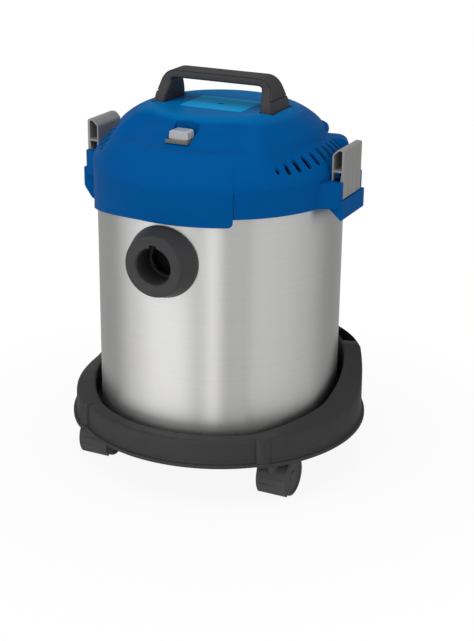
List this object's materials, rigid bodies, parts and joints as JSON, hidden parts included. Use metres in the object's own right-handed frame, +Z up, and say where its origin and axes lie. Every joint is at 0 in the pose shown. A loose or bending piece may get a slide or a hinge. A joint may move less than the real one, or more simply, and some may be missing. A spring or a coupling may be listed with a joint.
{
  "type": "wet and dry vacuum cleaner",
  "caption": "Wet and dry canister vacuum with a steel drum, lift-off motor head, side latches, carry handle, blower outlet and castor dolly.",
  "frame": {"origin": "on the floor under the drum's axis, at the middle of the bounding box", "axes": "+Z up, hose inlet at the front facing -Y, latches at -X and +X"},
  "size_m": [0.324, 0.315, 0.4235],
  "materials": {
    "blue_plastic": "moulded, satin gloss",
    "black_plastic": "fine moulded texture",
    "soft_grip": "matt soft-touch",
    "wheel_plastic": "smooth moulded",
    "grey_plastic": "fine moulded texture",
    "brushed_steel": "brushed round the drum",
    "zinc_steel": "zinc plated",
    "rubber": "plain",
    "clear_cap": "translucent, glossy",
    "filter_paper": "pleated paper",
    "copper": "copper",
    "white_plastic": "smooth",
    "light_alloy": "pressed and cast"
  },
  "bodies": {
    "root": {"steel_drum": "brushed_steel", "drum_collar": "blue_plastic", "inlet_port": "black_plastic", "inlet_gasket": "rubber", "inlet_deflector": "black_plastic", "inlet_screw_left": "zinc_steel", "inlet_screw_right": "zinc_steel", "dolly_base": "black_plastic", "latch_pin_left": "zinc_steel", "latch_pin_right": "zinc_steel"},
    "head": {"head_cover": "blue_plastic", "carry_handle": "black_plastic", "handle_grip": "soft_grip", "switch_bezel": "black_plastic", "switch_body": "black_plastic", "blower_port": "black_plastic", "cord_gland": "rubber", "rim_seal": "rubber", "head_base": "black_plastic", "head_screw_1": "zinc_steel", "head_screw_2": "zinc_steel", "head_screw_3": "zinc_steel", "fan_case": "light_alloy", "motor_mount": "rubber", "motor_can": "light_alloy", "stator": "zinc_steel", "brush_holder_left": "white_plastic", "brush_holder_right": "white_plastic", "bearing_lower": "zinc_steel", "bearing_upper": "zinc_steel", "float_cage": "black_plastic", "filter_cartridge": "filter_paper", "filter_top_ring": "rubber", "filter_end_cap": "rubber"},
    "rotor": {"motor_shaft": "zinc_steel", "armature": "copper", "commutator": "copper", "impeller": "light_alloy"},
    "float": {"shut_off_float": "white_plastic"},
    "switch_rocker": {"switch_rocker": "clear_cap"},
    "latch_left": {"latch_left": "grey_plastic"},
    "latch_right": {"latch_right": "grey_plastic"},
    "castor_front_right": {"castor_front_right_hood": "black_plastic", "castor_front_right_axle": "zinc_steel"},
    "castor_front_right_wheel_left": {"castor_front_right_wheel_left": "wheel_plastic"},
    "castor_front_right_wheel_right": {"castor_front_right_wheel_right": "wheel_plastic"},
    "castor_rear_right": {"castor_rear_right_hood": "black_plastic", "castor_rear_right_axle": "zinc_steel"},
    "castor_rear_right_wheel_left": {"castor_rear_right_wheel_left": "wheel_plastic"},
    "castor_rear_right_wheel_right": {"castor_rear_right_wheel_right": "wheel_plastic"},
    "castor_rear_left": {"castor_rear_left_hood": "black_plastic", "castor_rear_left_axle": "zinc_steel"},
    "castor_rear_left_wheel_left": {"castor_rear_left_wheel_left": "wheel_plastic"},
    "castor_rear_left_wheel_right": {"castor_rear_left_wheel_right": "wheel_plastic"},
    "castor_front_left": {"castor_front_left_hood": "black_plastic", "castor_front_left_axle": "zinc_steel"},
    "castor_front_left_wheel_left": {"castor_front_left_wheel_left": "wheel_plastic"},
    "castor_front_left_wheel_right": {"castor_front_left_wheel_right": "wheel_plastic"}
  },
  "joints": [
    {"name": "head_lift", "type": "slide", "parent": "root", "child": "head", "axis": [0, 0, 1], "range_m": [0, 0.21]},
    {"name": "motor_spin", "type": "hinge", "parent": "head", "child": "rotor", "pos_m": [0, 0, 0.3085], "axis": [0, 0, 1], "continuous": true},
    {"name": "float_rise", "type": "slide", "parent": "head", "child": "float", "axis": [0, 0, 1], "range_m": [0, 0.02]},
    {"name": "switch_rock", "type": "hinge", "parent": "head", "child": "switch_rocker", "pos_m": [0, -0.0892, 0.3708], "axis": [0, 1, 0], "range_deg": [-8, 8]},
    {"name": "latch_left_swing", "type": "hinge", "parent": "root", "child": "latch_left", "pos_m": [-0.1405, 0, 0.317], "axis": [0, -1, 0], "range_deg": [0, 60]},
    {"name": "latch_right_swing", "type": "hinge", "parent": "root", "child": "latch_right", "pos_m": [0.1405, 0, 0.317], "axis": [0, 1, 0], "range_deg": [0, 60]},
    {"name": "castor_front_right_swivel", "type": "hinge", "parent": "root", "child": "castor_front_right", "pos_m": [0.10725, -0.08999, 0.0472], "axis": [0, 0, 1], "continuous": true},
    {"name": "castor_front_right_wheel_left_spin", "type": "hinge", "parent": "castor_front_right", "child": "castor_front_right_wheel_left", "pos_m": [0.10725, -0.07299, 0.0215], "axis": [1, 0, 0], "continuous": true},
    {"name": "castor_front_right_wheel_right_spin", "type": "hinge", "parent": "castor_front_right", "child": "castor_front_right_wheel_right", "pos_m": [0.10725, -0.07299, 0.0215], "axis": [1, 0, 0], "continuous": true},
    {"name": "castor_rear_right_swivel", "type": "hinge", "parent": "root", "child": "castor_rear_right", "pos_m": [0.10725, 0.08999, 0.0472], "axis": [0, 0, 1], "continuous": true},
    {"name": "castor_rear_right_wheel_left_spin", "type": "hinge", "parent": "castor_rear_right", "child": "castor_rear_right_wheel_left", "pos_m": [0.10725, 0.10699, 0.0215], "axis": [1, 0, 0], "continuous": true},
    {"name": "castor_rear_right_wheel_right_spin", "type": "hinge", "parent": "castor_rear_right", "child": "castor_rear_right_wheel_right", "pos_m": [0.10725, 0.10699, 0.0215], "axis": [1, 0, 0], "continuous": true},
    {"name": "castor_rear_left_swivel", "type": "hinge", "parent": "root", "child": "castor_rear_left", "pos_m": [-0.10725, 0.08999, 0.0472], "axis": [0, 0, 1], "continuous": true},
    {"name": "castor_rear_left_wheel_left_spin", "type": "hinge", "parent": "castor_rear_left", "child": "castor_rear_left_wheel_left", "pos_m": [-0.10725, 0.10699, 0.0215], "axis": [1, 0, 0], "continuous": true},
    {"name": "castor_rear_left_wheel_right_spin", "type": "hinge", "parent": "castor_rear_left", "child": "castor_rear_left_wheel_right", "pos_m": [-0.10725, 0.10699, 0.0215], "axis": [1, 0, 0], "continuous": true},
    {"name": "castor_front_left_swivel", "type": "hinge", "parent": "root", "child": "castor_front_left", "pos_m": [-0.10725, -0.08999, 0.0472], "axis": [0, 0, 1], "continuous": true},
    {"name": "castor_front_left_wheel_left_spin", "type": "hinge", "parent": "castor_front_left", "child": "castor_front_left_wheel_left", "pos_m": [-0.10725, -0.07299, 0.0215], "axis": [1, 0, 0], "continuous": true},
    {"name": "castor_front_left_wheel_right_spin", "type": "hinge", "parent": "castor_front_left", "child": "castor_front_left_wheel_right", "pos_m": [-0.10725, -0.07299, 0.0215], "axis": [1, 0, 0], "continuous": true}
  ]
}
